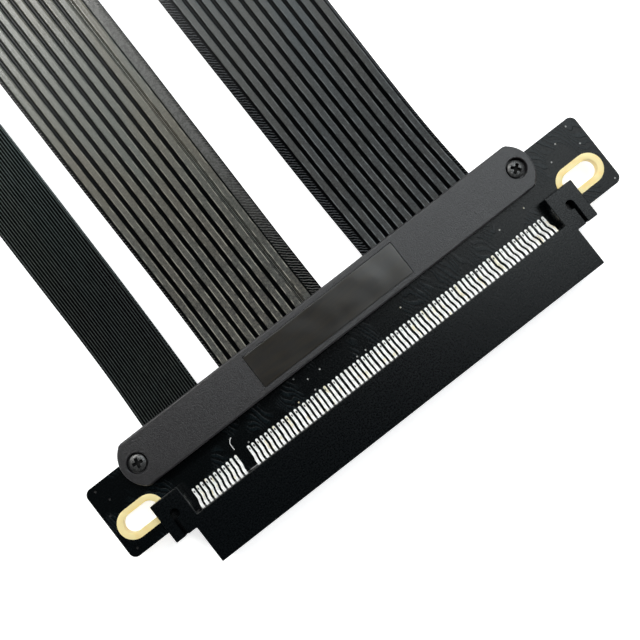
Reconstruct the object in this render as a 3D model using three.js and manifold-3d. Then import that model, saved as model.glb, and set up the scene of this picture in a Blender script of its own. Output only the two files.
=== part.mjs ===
// Riser cable with a sixteen-lane card-edge slot on a narrow board at one end,
// three flat cables, and a plug board with a card-edge tongue at the other end.
// Millimetres. X runs along the slot, +Y from the slot's mouth towards the plug,
// and Z = 0 is the surface that the cable lies on. The origin is the middle of
// the slot end's outline.
import * as THREE from 'three';
import { mergeVertices } from 'three/addons/utils/BufferGeometryUtils.js';
import Module from 'manifold-3d';

// Card-edge interface, which the slot and the tongue share
const contactPitch = 1.0;
const shortGroupCount = 11;
const longGroupCount = 71;
const keySpacing = 3.0; // between the two contacts beside the key
const tongueMargin = 1.1; // from the last contact to the tongue's end
const boardThickness = 1.6;

// Slot board
const slotBoardLength = 116.1;
const slotBoardDepth = 15.5;
const boardCorner = 1.4;
const slottedHoleLength = 7.5;
const slottedHoleWidth = 3.6;
const slottedHoleEndMargin = 2.2; // from the hole to the board's end
const slottedHoleY = 5.5;
const platingFlange = 1.25;
const platingThickness = 0.08;
const platingGap = 0.03;

// Slot housing
const housingHeight = 9.0;
const housingDepth = 9.75;
const housingEndWall = 1.65;
const slotDepth = 7.6;
const slotSideClearance = 0.1;
const slotEndClearance = 0.15;
const keyRibWidth = 1.7;
const mouthChamfer = 0.7;
const boardEdgeGap = 0.15; // housing's rear face to the board's front edge
const boardFaceGap = 0.12; // ears to the board's faces
const earInset = 1.3; // from the last contact to the ear's inner wall
const earWidth = 6.2;
const earRear = 6.0;
const earFront = -2.15;
const earHoleRadius = 0.95;
const earHoleInset = 3.2; // from the ear's inner wall to the hole's centre
const earHoleY = 2.35;
const earSlitWidth = 0.75;
const earHoleDepth = 2.4;
const housingEdge = 0.15;

// Contacts
const tailWidth = 0.62;
const tailThickness = 0.22;
const tailRise = 2.0; // where a tail leaves the housing, above the board's face
const tailShelf = 0.7;
const tailFootStart = 1.8;
const tailReach = 3.8;
const solderGap = 0.06;
const springWidth = 0.5;
const springBulge = 0.36;
const springMouthInset = 1.5;
const springCrestInset = 3.2;
const springRootInset = 6.6;
const springRootDepth = 0.3; // how far the springs' ends sink into the slot's walls

// Clamp covers
const coverLength = 95.4;
const coverWidth = 9.5;
const coverHeight = 2.6; // above the board's face
const coverCentreX = -1.7;
const coverEndBow = 5.6; // radius of the bowed ends
const coverCorner = 1.4;
const coverOverhang = 3.05; // past the board's cable edge
const coverEdge = 0.35;
const coverBoardGap = 0.1;
const coverPartingGap = 0.1;
const windowInset = 1.5; // from the cover's front edge to the cables' windows
const windowRoof = 0.95;
const windowSideClearance = 0.4;
const labelLength = 34.9;
const labelWidth = 7.2;
const labelRecessDepth = 0.4;
const labelThickness = 0.3;
const labelClearance = 0.15;
const labelSeatGap = 0.03;

// Cover screws
const screwSpacing = 88.9;
const screwHeadRadius = 1.65;
const screwHeadHeight = 1.15;
const screwHeadDome = 0.25;
const screwHeadSink = 0.45; // head's top under the cover's face
const screwRecessClearance = 0.35;
const screwShankRadius = 0.95;
const screwLength = 4.6;
const screwPointHeight = 0.5;
const screwBoreClearance = 0.15;
const crossWidth = 0.75;
const crossSpan = 2.4;
const crossDepth = 0.75;

// Cables: places and widths along X
const cableThickness = 1.0;
const narrowCable = { x: -35.3, width: 13.2 };
const middleCable = { x: -11.6, width: 24.9, lowerWidth: 24.0 };
const rightCable = { x: 23.0, width: 26.0, lowerWidth: 24.9 };
const freeLength = 200; // between the two ends' covers

// Plug board
const plugBoardLength = 104;
const plugBodyDepth = 17;
const tongueDepth = 8.25;
const tongueBevelDepth = 1.3;
const tongueBevelRise = 0.35;
const tongueCorner = 0.6;
const keyNotchWidth = 1.9;
const keyNotchDepth = 7.9;
const hookGap = 2.6; // tongue to the retention hook
const hookLeg = 2.2;
const hookToe = 1.7;
const hookLength = 6.8;
const hookToeLength = 2.6;

const roundSegments = 8; // per half circle, and per bowed end
const cornerSegments = 3;

// Places that follow from the sizes
const rowLength = (shortGroupCount + longGroupCount - 2) * contactPitch + keySpacing;
const tongueLength = rowLength + 2 * tongueMargin;
const keyX = -rowLength / 2 + (shortGroupCount - 1) * contactPitch + keySpacing / 2;
const coverCentreY = slotBoardDepth + coverOverhang - coverWidth / 2;
const coverRear = coverCentreY + coverWidth / 2;
const housingFront = -boardEdgeGap - housingDepth;
const halfBoard = boardThickness / 2;
const slotEndZ = housingHeight / 2;
const plugEndZ = halfBoard + coverHeight;
const plugRear = coverRear + freeLength + coverOverhang; // plug board's cable edge

const wasm = await Module();
wasm.setup();

// Solids and geometries

function solidOf(geometry) {
  const bare = geometry.clone();
  bare.deleteAttribute('normal');
  bare.deleteAttribute('uv');
  const merged = mergeVertices(bare, 1e-5);
  const corners = merged.index.array;
  const triangles = [];
  for (let i = 0; i < corners.length; i += 3) {
    const [a, b, c] = corners.slice(i, i + 3);
    if (a !== b && b !== c && c !== a) triangles.push(a, b, c);
  }
  return new wasm.Manifold(new wasm.Mesh({
    numProp: 3,
    vertProperties: new Float32Array(merged.attributes.position.array),
    triVerts: new Uint32Array(triangles),
  }));
}

function geometryOf(solid) {
  const { vertProperties, triVerts } = solid.getMesh();
  const geometry = new THREE.BufferGeometry();
  geometry.setAttribute('position', new THREE.BufferAttribute(vertProperties, 3));
  geometry.setIndex(new THREE.BufferAttribute(triVerts, 1));
  return geometry;
}

function block([x0, x1], [y0, y1], [z0, z1]) {
  const box = new THREE.BoxGeometry(x1 - x0, y1 - y0, z1 - z0);
  return solidOf(box.translate((x0 + x1) / 2, (y0 + y1) / 2, (z0 + z1) / 2));
}

// An outline in X and Y, made solid from z0 to z1, its edges bevelled if asked
function prism(shape, [z0, z1], bevel = 0) {
  return new THREE.ExtrudeGeometry(shape, {
    depth: z1 - z0 - 2 * bevel,
    bevelEnabled: bevel > 0,
    bevelThickness: bevel,
    bevelSize: bevel,
    bevelOffset: -bevel,
    bevelSegments: 1,
    curveSegments: roundSegments,
  }).translate(0, 0, z0 + bevel);
}

// An outline in Y and Z, made solid along X
function bar(points, [x0, x1]) {
  const shape = new THREE.Shape(points.map(([y, z]) => new THREE.Vector2(y, z)));
  const alongX = new THREE.Matrix4().makeBasis(
    new THREE.Vector3(0, 1, 0), new THREE.Vector3(0, 0, 1), new THREE.Vector3(1, 0, 0));
  return new THREE.ExtrudeGeometry(shape, { depth: x1 - x0, bevelEnabled: false })
    .applyMatrix4(alongX).translate(x0, 0, 0);
}

// The same geometry with Z turned over
function flipped(geometry) {
  const turned = geometry.clone().scale(1, 1, -1);
  const corners = turned.index.array;
  for (let i = 0; i < corners.length; i += 3) {
    [corners[i], corners[i + 1]] = [corners[i + 1], corners[i]];
  }
  return turned;
}

// Outlines

// Points along an arc, without its last
function arc(x, y, radius, [start, end], steps) {
  return Array.from({ length: steps }, (_, i) => {
    const angle = start + (end - start) * i / steps;
    return [x + radius * Math.cos(angle), y + radius * Math.sin(angle)];
  });
}

function disc(x, y, radius) {
  return new THREE.Shape()
    .absarc(x, y, radius, 0, Math.PI)
    .absarc(x, y, radius, Math.PI, 2 * Math.PI);
}

function stadium(x, y, length, width) {
  const radius = width / 2;
  const reach = length / 2 - radius;
  return new THREE.Shape()
    .absarc(x + reach, y, radius, -Math.PI / 2, Math.PI / 2)
    .absarc(x - reach, y, radius, Math.PI / 2, 1.5 * Math.PI);
}

// A bar whose ends bow out between small round corners
function bowedBar(length, width, bow, corner) {
  const centre = length / 2 - bow;
  const rise = width / 2 - corner;
  const reach = Math.sqrt((bow - corner) ** 2 - rise ** 2);
  const turn = Math.atan2(rise, reach);
  const end = [
    ...arc(centre + reach, -rise, corner, [-Math.PI / 2, -turn], cornerSegments),
    ...arc(centre, 0, bow, [-turn, turn], roundSegments),
    ...arc(centre + reach, rise, corner, [turn, Math.PI / 2], cornerSegments),
    [centre + reach, width / 2],
  ];
  const points = [...end, ...end.map(([x, y]) => [-x, -y])];
  return new THREE.Shape(points.map(([x, y]) => new THREE.Vector2(x, y)));
}

function roundedRectangle([x0, x1], [y0, y1], radius) {
  return new THREE.Shape()
    .absarc(x1 - radius, y0 + radius, radius, -Math.PI / 2, 0)
    .absarc(x1 - radius, y1 - radius, radius, 0, Math.PI / 2)
    .absarc(x0 + radius, y1 - radius, radius, Math.PI / 2, Math.PI)
    .absarc(x0 + radius, y0 + radius, radius, Math.PI, 1.5 * Math.PI);
}

function contactPlaces() {
  const places = [];
  for (let i = 0; i < shortGroupCount; i += 1) {
    places.push(-rowLength / 2 + i * contactPitch);
  }
  for (let i = longGroupCount - 1; i >= 0; i -= 1) {
    places.push(rowLength / 2 - i * contactPitch);
  }
  return places;
}

// Slot end

const slottedHoleX = slotBoardLength / 2 - slottedHoleEndMargin - slottedHoleLength / 2;
const platingWallRadius = slottedHoleWidth / 2 + platingThickness;
const screwHoleRadius = screwShankRadius + screwBoreClearance;

function slotBoard() {
  const outline = roundedRectangle(
    [-slotBoardLength / 2, slotBoardLength / 2], [0, slotBoardDepth], boardCorner);
  const cutLength = slottedHoleLength + 2 * (platingThickness + platingGap);
  const cutWidth = slottedHoleWidth + 2 * (platingThickness + platingGap);
  for (const side of [-1, 1]) {
    outline.holes.push(stadium(side * slottedHoleX, slottedHoleY, cutLength, cutWidth));
    outline.holes.push(
      disc(coverCentreX + side * screwSpacing / 2, coverCentreY, screwHoleRadius));
  }
  return prism(outline, [-halfBoard, halfBoard]);
}

// Lining of a slotted hole: a barrel with a flange on each face of the board
function slotPlating(x) {
  const face = halfBoard + platingGap;
  const ring = (outer, inner, heights) => {
    const outline = stadium(x, slottedHoleY, slottedHoleLength + outer, slottedHoleWidth + outer);
    outline.holes.push(
      stadium(x, slottedHoleY, slottedHoleLength + inner, slottedHoleWidth + inner));
    return solidOf(prism(outline, heights));
  };
  const whole = ring(2 * platingFlange, 0, [-face - platingThickness, face + platingThickness]);
  const board = ring(3 * platingFlange, 2 * platingThickness, [-face, face]);
  return geometryOf(whole.subtract(board));
}

// Bent tail of one contact, in Y and Z above the board's mid-plane
function tailProfile() {
  const foot = halfBoard + solderGap;
  const shelf = halfBoard + tailRise;
  const root = -boardEdgeGap - 2 * tailThickness;
  return [
    [root, shelf],
    [tailShelf, shelf],
    [tailFootStart, foot + tailThickness],
    [tailReach, foot + tailThickness],
    [tailReach, foot],
    [tailFootStart - tailThickness, foot],
    [tailShelf - tailThickness / 2, shelf - tailThickness],
    [root, shelf - tailThickness],
  ];
}

// Sprung part of one contact, a low roof that stands out of the slot's wall
function springProfile() {
  const wall = halfBoard + slotSideClearance;
  return [
    [housingFront + springMouthInset, wall + springRootDepth],
    [housingFront + springCrestInset, wall - springBulge],
    [housingFront + springRootInset, wall + springRootDepth],
  ];
}

const turnedOver = (points) => points.map(([y, z]) => [y, -z]).reverse();

function housingOutline() {
  const body = tongueLength / 2 + slotEndClearance + housingEndWall;
  const inner = rowLength / 2 + earInset;
  const outer = inner + earWidth;
  const rear = -boardEdgeGap;
  const half = [
    [body, housingFront], [body, earFront], [outer, earFront],
    [outer, earRear], [inner, earRear], [inner, rear],
  ];
  const points = [...half, ...half.map(([x, y]) => [-x, y]).reverse()];
  return new THREE.Shape(points.map(([x, y]) => new THREE.Vector2(x, y)));
}

function slotHousing() {
  const top = housingHeight / 2;
  let housing = solidOf(prism(housingOutline(), [-top, top], housingEdge));

  const slotHalf = halfBoard + slotSideClearance;
  const slotEnd = tongueLength / 2 + slotEndClearance;
  const past = 1;
  const slotParts = [
    [-slotEnd, keyX - keyRibWidth / 2],
    [keyX + keyRibWidth / 2, slotEnd],
  ];
  const mouth = [
    [housingFront - past, slotHalf + mouthChamfer + past],
    [housingFront - past, -slotHalf - mouthChamfer - past],
    [housingFront + mouthChamfer, -slotHalf],
    [housingFront + mouthChamfer, slotHalf],
  ];
  for (const span of slotParts) {
    housing = housing
      .subtract(block(span, [housingFront - past, housingFront + slotDepth], [-slotHalf, slotHalf]))
      .subtract(solidOf(bar(mouth, span)));
  }

  const earOuter = rowLength / 2 + earInset + earWidth;
  const boardHalf = halfBoard + boardFaceGap;
  housing = housing.subtract(
    block([-earOuter - past, earOuter + past], [-boardEdgeGap, earRear + past], [-boardHalf, boardHalf]));

  for (const side of [-1, 1]) {
    const holeX = side * (rowLength / 2 + earInset + earHoleInset);
    const slitX = holeX + side * (earHoleRadius - earSlitWidth / 2);
    const heights = [top - earHoleDepth, top + past];
    housing = housing
      .subtract(solidOf(prism(disc(holeX, earHoleY, earHoleRadius), heights)))
      .subtract(block(
        [slitX - earSlitWidth / 2, slitX + earSlitWidth / 2], [earFront - past, earHoleY], heights));
  }

  for (const x of contactPlaces()) {
    const tailSpan = [x - tailWidth / 2, x + tailWidth / 2];
    const springSpan = [x - springWidth / 2, x + springWidth / 2];
    housing = housing
      .add(solidOf(bar(tailProfile(), tailSpan)))
      .add(solidOf(bar(turnedOver(tailProfile()), tailSpan)))
      .add(solidOf(bar(springProfile(), springSpan)))
      .add(solidOf(bar(turnedOver(springProfile()), springSpan)));
  }
  return geometryOf(housing);
}

// Clamp covers, in a frame at the cover's centre and the board's mid-plane.
// side is +1 where the cables leave towards +Y and -1 where they leave towards -Y.

function coverShell(side, cables) {
  const top = halfBoard + coverHeight;
  const past = 1;
  const outline = bowedBar(coverLength, coverWidth, coverEndBow, coverCorner);
  let cover = solidOf(prism(outline, [-top, top], coverEdge));

  const across = [-coverLength, coverLength];
  const ordered = (a, b) => (a < b ? [a, b] : [b, a]);
  const boardEdge = coverWidth / 2 - coverOverhang + boardEdgeGap;
  cover = cover
    .subtract(block(across, [-coverWidth, coverWidth], [-top - past, coverPartingGap / 2]))
    .subtract(block(
      across, ordered(-side * coverWidth, side * boardEdge), [0, halfBoard + coverBoardGap]));

  const windowFront = side * (windowInset - coverWidth / 2);
  for (const { x, width } of cables) {
    const reach = width / 2 + windowSideClearance;
    const centre = x - coverCentreX;
    cover = cover.subtract(block(
      [centre - reach, centre + reach],
      ordered(windowFront, side * (coverWidth / 2 + past)),
      [0, top - windowRoof]));
  }
  return cover;
}

function screwPlaces() {
  return [-screwSpacing / 2, screwSpacing / 2];
}

function coverTop(side, cables, labelled) {
  const top = halfBoard + coverHeight;
  const past = 1;
  let cover = coverShell(side, cables);
  for (const x of screwPlaces()) {
    const seat = top - screwHeadSink - screwHeadHeight;
    cover = cover
      .subtract(solidOf(prism(disc(x, 0, screwHeadRadius + screwRecessClearance), [seat, top + past])))
      .subtract(solidOf(prism(disc(x, 0, screwHoleRadius), [-past, top])));
  }
  if (labelled) {
    cover = cover.subtract(block(
      [-labelLength / 2, labelLength / 2], [-labelWidth / 2, labelWidth / 2],
      [top - labelRecessDepth, top + past]));
  }
  return geometryOf(cover);
}

// The lower cover is the same moulding turned over, with blind holes for the screws
function coverBottom(side, cables) {
  let cover = coverShell(side, cables);
  const tip = halfBoard + coverHeight - screwHeadSink - screwHeadHeight - screwLength;
  for (const x of screwPlaces()) {
    cover = cover.subtract(solidOf(
      prism(disc(x, 0, screwHoleRadius), [-1, screwBoreClearance - tip])));
  }
  return flipped(geometryOf(cover));
}

function labelPlate() {
  const floor = halfBoard + coverHeight - labelRecessDepth + labelSeatGap;
  const length = labelLength - 2 * labelClearance;
  const width = labelWidth - 2 * labelClearance;
  return new THREE.BoxGeometry(length, width, labelThickness)
    .translate(0, 0, floor + labelThickness / 2);
}

// Screw with a low domed head and a cross recess, its head's seat at z = 0
function coverScrew() {
  const outline = [
    [0, -screwLength],
    [screwShankRadius / 2, -screwLength],
    [screwShankRadius, -screwLength + screwPointHeight],
    [screwShankRadius, 0],
    [screwHeadRadius, 0],
    [screwHeadRadius, screwHeadHeight - screwHeadDome],
    [screwHeadRadius - screwHeadDome, screwHeadHeight],
    [0, screwHeadHeight],
  ];
  const turned = new THREE.LatheGeometry(
    outline.map(([r, z]) => new THREE.Vector2(r, z)), 2 * roundSegments).rotateX(Math.PI / 2);
  const slit = [-crossWidth / 2, crossWidth / 2];
  const reach = [-crossSpan / 2, crossSpan / 2];
  const heights = [screwHeadHeight - crossDepth, screwHeadHeight + 1];
  const cross = block(slit, reach, heights).add(block(reach, slit, heights));
  return geometryOf(solidOf(turned).subtract(cross));
}

// Plug end, in a frame at its board's cable edge and mid-plane

function plugOutline() {
  const half = plugBoardLength / 2;
  const tongue = tongueLength / 2;
  const shoulder = plugBodyDepth;
  const tip = shoulder + tongueDepth;
  const notch = keyNotchWidth / 2;
  const notchFloor = tip - keyNotchDepth;
  const leg = tongue + hookGap;
  const toe = leg + hookLeg;
  const hookTip = shoulder + hookLength;
  const shape = new THREE.Shape()
    .absarc(half - boardCorner, boardCorner, boardCorner, -Math.PI / 2, 0)
    .lineTo(half, shoulder)
    .lineTo(toe, shoulder)
    .lineTo(toe, hookTip - hookToeLength)
    .lineTo(toe + hookToe, hookTip - hookToeLength)
    .lineTo(toe + hookToe, hookTip - tongueCorner)
    .lineTo(toe + hookToe - tongueCorner, hookTip)
    .lineTo(leg + tongueCorner, hookTip)
    .lineTo(leg, hookTip - tongueCorner)
    .lineTo(leg, shoulder)
    .lineTo(tongue, shoulder)
    .lineTo(tongue, tip - tongueCorner)
    .lineTo(tongue - tongueCorner, tip)
    .lineTo(keyX + notch, tip)
    .absarc(keyX, notchFloor + notch, notch, 0, -Math.PI, true)
    .lineTo(keyX - notch, tip)
    .lineTo(tongueCorner - tongue, tip)
    .lineTo(-tongue, tip - tongueCorner)
    .lineTo(-tongue, shoulder)
    .lineTo(-half, shoulder)
    .absarc(boardCorner - half, boardCorner, boardCorner, Math.PI, 1.5 * Math.PI);
  for (const x of screwPlaces()) {
    shape.holes.push(disc(coverCentreX + x, coverWidth / 2 - coverOverhang, screwHoleRadius));
  }
  return shape;
}

function plugBoard() {
  const tip = plugBodyDepth + tongueDepth;
  const past = 1;
  const bevelSlope = tongueBevelRise / tongueBevelDepth;
  const tipHalf = halfBoard - tongueBevelRise;
  const wedge = [
    [tip - tongueBevelDepth, halfBoard],
    [tip + past, tipHalf - past * bevelSlope],
    [tip + past, halfBoard + past],
    [tip - tongueBevelDepth, halfBoard + past],
  ];
  const across = [-tongueLength / 2 - past, tongueLength / 2 + past];
  const board = solidOf(prism(plugOutline(), [-halfBoard, halfBoard]))
    .subtract(solidOf(bar(wedge, across)))
    .subtract(solidOf(bar(turnedOver(wedge), across)));
  return geometryOf(board);
}

// Cables. Each route is a list of points, as distance beyond the slot cover's
// rear edge and height above the surface. The two layers of a wide cable come
// together behind the covers and lie on each other.

const upperRoute = [
  [-7.2, 5.95], [-4.6, 5.95], [-2.2, 5.75], [0, 5.35], [3.5, 4.55], [8, 3.55], [14, 2.6],
  [22, 2.02], [34, 1.86], [60, 1.86], [100, 1.86], [140, 1.86], [166, 1.86], [178, 2.02],
  [186, 2.6], [192, 3.4], [196.5, 4.0], [200, 4.35], [202.2, 4.65], [204.6, 4.85], [207.2, 4.85],
];
const lowerRoute = [
  [-7.2, 3.05], [-4.6, 3.05], [-2.2, 3.15], [0, 3.2], [3.5, 2.75], [8, 2.0], [14, 1.15],
  [22, 0.68], [34, 0.56], [60, 0.56], [100, 0.56], [140, 0.56], [166, 0.56], [178, 0.62],
  [186, 0.95], [192, 1.5], [196.5, 1.95], [200, 2.15], [202.2, 2.1], [204.6, 1.95], [207.2, 1.95],
];

// A route in the plane of Y and Z, whose section keeps its width along X and
// whose steps follow the points, so that they are short where the cable bends
class CableRoute extends THREE.CatmullRomCurve3 {
  getSpacedPoints(steps) {
    return this.getPoints(steps);
  }

  computeFrenetFrames(steps) {
    const frames = { tangents: [], normals: [], binormals: [] };
    const acrossCable = new THREE.Vector3(1, 0, 0);
    for (let i = 0; i <= steps; i += 1) {
      const tangent = this.getTangent(i / steps);
      frames.tangents.push(tangent);
      frames.normals.push(acrossCable.clone());
      frames.binormals.push(new THREE.Vector3().crossVectors(tangent, acrossCable));
    }
    return frames;
  }
}

function flatCable(route, width) {
  const points = route.map(([y, z]) => new THREE.Vector3(0, coverRear + y, z));
  const edge = cableThickness / 4;
  const [x, y] = [width / 2, cableThickness / 2];
  const section = new THREE.Shape([
    [x, -edge], [x, edge], [x - edge, y], [edge - x, y],
    [-x, edge], [-x, -edge], [edge - x, -y], [x - edge, -y],
  ].map(([a, b]) => new THREE.Vector2(a, b)));
  return new THREE.ExtrudeGeometry(section, {
    steps: route.length - 1,
    extrudePath: new CableRoute(points, false, 'centripetal'),
  });
}

// Finishes

const finish = (color, roughness, metalness) =>
  new THREE.MeshStandardMaterial({ color, roughness, metalness });
const boardFinish = finish(0x14191c, 0.5, 0);
const housingFinish = finish(0x15181b, 0.55, 0);
const coverFinish = finish(0x3c3e42, 0.8, 0);
const labelFinish = finish(0x17150f, 0.15, 0);
const screwFinish = finish(0x101010, 0.35, 0.6);
const goldFinish = finish(0xf2dc8a, 0.3, 1);
const cableFinish = finish(0x232426, 0.4, 0);

// The scene graph

function place(parent, name, geometry, material, x = 0, y = 0, z = 0) {
  const mesh = new THREE.Mesh(geometry, material);
  mesh.name = name;
  mesh.position.set(x, y, z);
  parent.add(mesh);
  return mesh;
}

// Two covers and their screws, round a board whose mid-plane is the parent's z = 0
function placeCovers(parent, prefix, side, y, labelled) {
  const wide = [middleCable, rightCable];
  const top = coverTop(side, [narrowCable, ...wide], labelled);
  place(parent, `${prefix}_top`, top, coverFinish, coverCentreX, y);
  place(parent, `${prefix}_bottom`, coverBottom(side, wide), coverFinish, coverCentreX, y);
  const seat = halfBoard + coverHeight - screwHeadSink - screwHeadHeight;
  for (const x of screwPlaces()) {
    const name = `${prefix}_screw_${x < 0 ? 'left' : 'right'}`;
    place(parent, name, coverScrew(), screwFinish, coverCentreX + x, y, seat);
  }
}

const group = new THREE.Group();
group.position.y = -(housingFront + coverRear) / 2;

const slotEnd = new THREE.Group();
slotEnd.position.z = slotEndZ;
place(slotEnd, 'slot_board', slotBoard(), boardFinish);
place(slotEnd, 'slot_housing', slotHousing(), housingFinish);
place(slotEnd, 'slot_plating_left', slotPlating(-slottedHoleX), goldFinish);
place(slotEnd, 'slot_plating_right', slotPlating(slottedHoleX), goldFinish);
placeCovers(slotEnd, 'slot_cover', 1, coverCentreY, true);
place(slotEnd, 'label_plate', labelPlate(), labelFinish, coverCentreX, coverCentreY);

const plugEnd = new THREE.Group();
plugEnd.position.set(0, plugRear, plugEndZ);
place(plugEnd, 'plug_board', plugBoard(), boardFinish);
placeCovers(plugEnd, 'plug_cover', -1, coverWidth / 2 - coverOverhang, false);

const cables = new THREE.Group();
const narrow = flatCable(upperRoute, narrowCable.width);
place(cables, 'cable_narrow', narrow, cableFinish, narrowCable.x);
for (const [name, cable] of [['middle', middleCable], ['right', rightCable]]) {
  const upper = flatCable(upperRoute, cable.width);
  const lower = flatCable(lowerRoute, cable.lowerWidth);
  place(cables, `cable_${name}_upper`, upper, cableFinish, cable.x);
  place(cables, `cable_${name}_lower`, lower, cableFinish, cable.x);
}

group.add(slotEnd, plugEnd, cables);
export default group;
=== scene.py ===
import math
import random

import bmesh
import bpy
from bpy.props import (BoolProperty, FloatProperty, FloatVectorProperty, IntProperty,
                       PointerProperty)
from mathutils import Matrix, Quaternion, Vector, noise


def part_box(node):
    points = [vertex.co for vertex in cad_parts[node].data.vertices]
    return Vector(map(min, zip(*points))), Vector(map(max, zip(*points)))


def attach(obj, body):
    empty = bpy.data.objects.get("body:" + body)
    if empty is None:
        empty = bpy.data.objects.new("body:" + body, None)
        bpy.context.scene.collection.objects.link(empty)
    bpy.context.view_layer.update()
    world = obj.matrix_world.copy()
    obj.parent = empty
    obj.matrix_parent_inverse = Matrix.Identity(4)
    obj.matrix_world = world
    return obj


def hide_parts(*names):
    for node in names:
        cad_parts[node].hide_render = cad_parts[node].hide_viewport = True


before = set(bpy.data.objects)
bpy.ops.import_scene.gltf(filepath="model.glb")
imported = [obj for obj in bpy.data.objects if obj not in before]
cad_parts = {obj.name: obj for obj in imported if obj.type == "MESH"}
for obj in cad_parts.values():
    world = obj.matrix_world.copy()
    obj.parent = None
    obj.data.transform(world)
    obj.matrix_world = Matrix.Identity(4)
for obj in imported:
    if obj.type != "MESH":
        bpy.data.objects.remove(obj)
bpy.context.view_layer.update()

bl_info = {
    "name": "Riser Cable",
    "version": (1, 0, 0),
    "blender": (4, 5, 0),
    "location": "View3D > Sidebar > Riser",
    "description": "Dresses a riser cable's boards, card slot, contacts, covers and flat cables",
    "category": "Add Mesh",
}

MM = 0.001

# Card-edge row, which the slot, its contacts and the plug's fingers share
CONTACT_PITCH = 1.0 * MM
SHORT_GROUP = 11
LONG_GROUP = 71
KEY_SPACING = 3.0 * MM
ROW_LENGTH = (SHORT_GROUP + LONG_GROUP - 2) * CONTACT_PITCH + KEY_SPACING
KEY_X = -ROW_LENGTH / 2 + (SHORT_GROUP - 1) * CONTACT_PITCH + KEY_SPACING / 2
PAST = 1 * MM  # how far a cutter reaches past the face that it cuts
SUNK = 0.01 * MM  # how far a thin piece reaches into the board under it
TOUCH = 0.01 * MM  # places this near each other count as one
NEAR = 0.1 * MM  # corners this near a place are picked with it
FACING = 0.9  # a face whose normal has this much of an axis looks along it


def middle(node):
    low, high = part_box(node)
    return (low + high) / 2


# Places that the frame gives
BOARD_LOW, BOARD_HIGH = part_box("slot_board")
BOARD_MID = middle("slot_board").z
BOARD_FRONT = BOARD_LOW.y
BOARD_FACE = BOARD_HIGH.z - BOARD_MID
HOUSING_LOW, HOUSING_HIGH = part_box("slot_housing")
PLUG_MID = middle("plug_board").z
PLUG_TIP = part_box("plug_board")[1].y
COVER_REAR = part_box("slot_cover_top")[1].y

# Routes of the cables: distance past the slot cover's rear edge, and both layers' heights
ROUTES = [
    (-7.2, 5.95, 3.05), (-4.6, 5.95, 3.05), (-2.2, 5.75, 3.15), (0, 5.35, 3.2),
    (3.5, 4.55, 2.75), (8, 3.55, 2.0), (14, 2.6, 1.15), (22, 2.02, 0.68), (34, 1.86, 0.56),
    (60, 1.86, 0.56), (100, 1.86, 0.56), (140, 1.86, 0.56), (166, 1.86, 0.56),
    (178, 2.02, 0.62), (186, 2.6, 0.95), (192, 3.4, 1.5), (196.5, 4.0, 1.95),
    (200, 4.35, 2.15), (202.2, 4.65, 2.1), (204.6, 4.85, 1.95), (207.2, 4.85, 1.95),
]
LAYERS = {"upper": 1, "lower": 2}  # which column of the routes


# Sizes and colours that a user would change

def length(name, description, default):
    return FloatProperty(name=name, description=description, default=default, min=0,
                         subtype="DISTANCE", unit="LENGTH", precision=5)


def colour(name, description, default):
    return FloatVectorProperty(name=name, description=description, default=default, size=3,
                               min=0, max=1, subtype="COLOR")


def power(name, description, default):
    return FloatProperty(name=name, description=description, default=default, min=0,
                         subtype="POWER", unit="POWER")


class RiserCableSettings(bpy.types.PropertyGroup):
    """Flat cables"""
    ribs: IntProperty(name="Ribs", description="Wire pairs in a wide cable", default=11)
    fine_ribs: IntProperty(name="Fine ribs", description="Wires in the narrow cable", default=24)
    rib_height: length("Rib height", "Thickness over a wire pair", 0.96 * MM)
    film_height: length("Film height", "Thickness of the bare film between ribs", 0.3 * MM)
    step: length("Step", "Spacing of the rings along a cable", 1.5 * MM)
    film: colour("Film", "Colour of the film over the wires", (0.112, 0.108, 0.090))
    # groove: near-black colour painted into the grooves between ribs as their shade
    groove: colour("Groove", "Colour of the grooves between ribs", (0.0022, 0.0025, 0.003))


class RiserSlotSettings(bpy.types.PropertyGroup):
    """Slot housing, contacts and boards"""
    slot_depth: length("Slot depth", "From the mouth to the slot's floor", 7.6 * MM)
    edge: length("Edge", "Radius of the moulding's outer edges", 0.18 * MM)
    tail_width: length("Tail width", "Width of a contact's tail", 0.52 * MM)
    plastic: colour("Plastic", "Colour of the housing", (0.0010, 0.0018, 0.0024))
    mask: colour("Solder mask", "Colour of the boards", (0.0010, 0.0018, 0.0022))
    tin: colour("Tin", "Colour of tails and solder", (0.97, 0.97, 0.95))
    gold: colour("Gold", "Colour of plated metal", (1.0, 0.84, 0.42))


class RiserCoverSettings(bpy.types.PropertyGroup):
    """Clamp covers, their screws and the blank label"""
    edge: length("Edge", "Radius of the covers' outer edges", 0.35 * MM)
    plastic: colour("Plastic", "Colour of the covers", (0.012, 0.011, 0.0125))
    screw: colour("Screw", "Colour of the screws", (0.06, 0.06, 0.06))
    label: colour("Label", "Colour of the blank label", (0.008, 0.0065, 0.005))


class RiserStageSettings(bpy.types.PropertyGroup):
    """Camera, floor and light"""
    focal: FloatProperty(name="Focal length", description="Lens on a 36 mm sensor, in mm",
                         default=50.625, min=1)
    glow: FloatProperty(name="Floor glow", description="Light that the pale floor gives off",
                        default=0.7, min=0)
    key: power("Key light", "Power of the softbox on the right", 3.9)
    back: power("Back light", "Power of the softbox behind the cables", 7.0)
    side: power("Side light", "Power of the cool light from the side", 0.9)
    tidy: BoolProperty(name="Clear first", description="Remove what a new scene holds",
                       default=True)


# Modelling by hand

def only(obj):
    """Leave one object selected and active."""
    bpy.ops.object.select_all(action="DESELECT")
    obj.select_set(True)
    bpy.context.view_layer.objects.active = obj
    return obj


def settle(obj):
    """Put an object's place, turn and scale into its mesh."""
    only(obj)
    bpy.ops.object.transform_apply(location=True, rotation=True, scale=True)
    return obj


def linked(name, data):
    """A new object in the scene that shows a mesh, a curve, a lens or a light."""
    made = bpy.data.objects.new(name, data)
    bpy.context.scene.collection.objects.link(made)
    return made


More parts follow.
